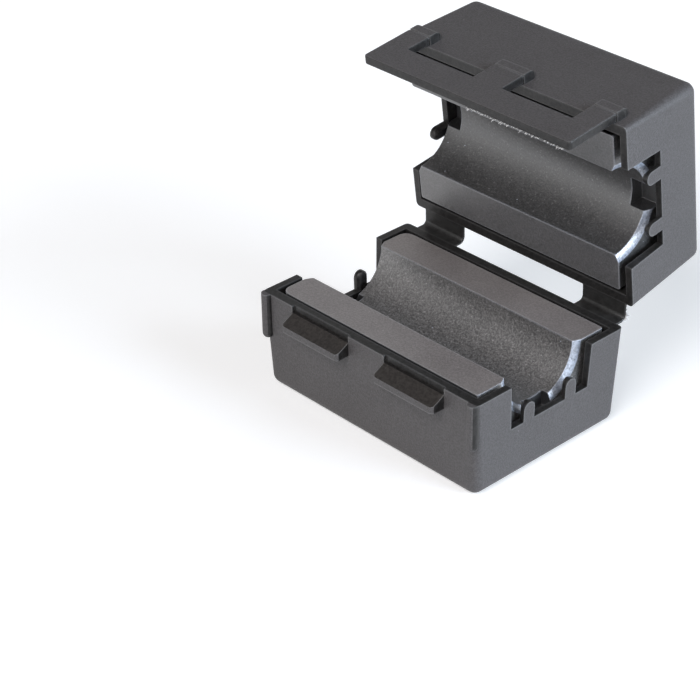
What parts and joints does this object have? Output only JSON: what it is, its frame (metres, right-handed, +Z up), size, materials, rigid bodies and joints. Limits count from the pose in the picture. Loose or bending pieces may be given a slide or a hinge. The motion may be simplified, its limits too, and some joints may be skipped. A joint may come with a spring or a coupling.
{
  "type": "clip on ferrite bead",
  "caption": "Clip-on ferrite choke for a round cable, folded open: a moulded case on strap hinges, a half-round ferrite core in each half and a latch flap on the lid.",
  "frame": {"origin": "middle of the lower half's floor, on its flat outer face", "axes": "+X along the cable, -Y towards the latch side, +Y towards the hinge straps, +Z up from the floor to the mating face"},
  "size_m": [0.0326, 0.0365, 0.0365],
  "materials": {
    "case_plastic": "dark charcoal moulded nylon with a fine grain, matte",
    "ferrite": "ground grey ferrite, fine grained, slightly shiny"
  },
  "bodies": {
    "lower": {"lower_case": "case_plastic", "lower_core": "ferrite", "hinge_strap_left": "case_plastic", "hinge_strap_right": "case_plastic"},
    "upper": {"upper_case": "case_plastic", "upper_core": "ferrite"},
    "latch": {"latch_flap": "case_plastic"}
  },
  "joints": [
    {"name": "case_hinge", "type": "hinge", "parent": "lower", "child": "upper", "pos_m": [0, 0.01262, 0.01178], "axis": [1, 0, 0], "range_deg": [-97.2, 82.8], "deforming": ["hinge_strap_left", "hinge_strap_right"]},
    {"name": "latch_hinge", "type": "hinge", "parent": "upper", "child": "latch", "pos_m": [0, 0.00989, 0.03635], "axis": [-1, 0, 0], "range_deg": [0, 38]}
  ]
}
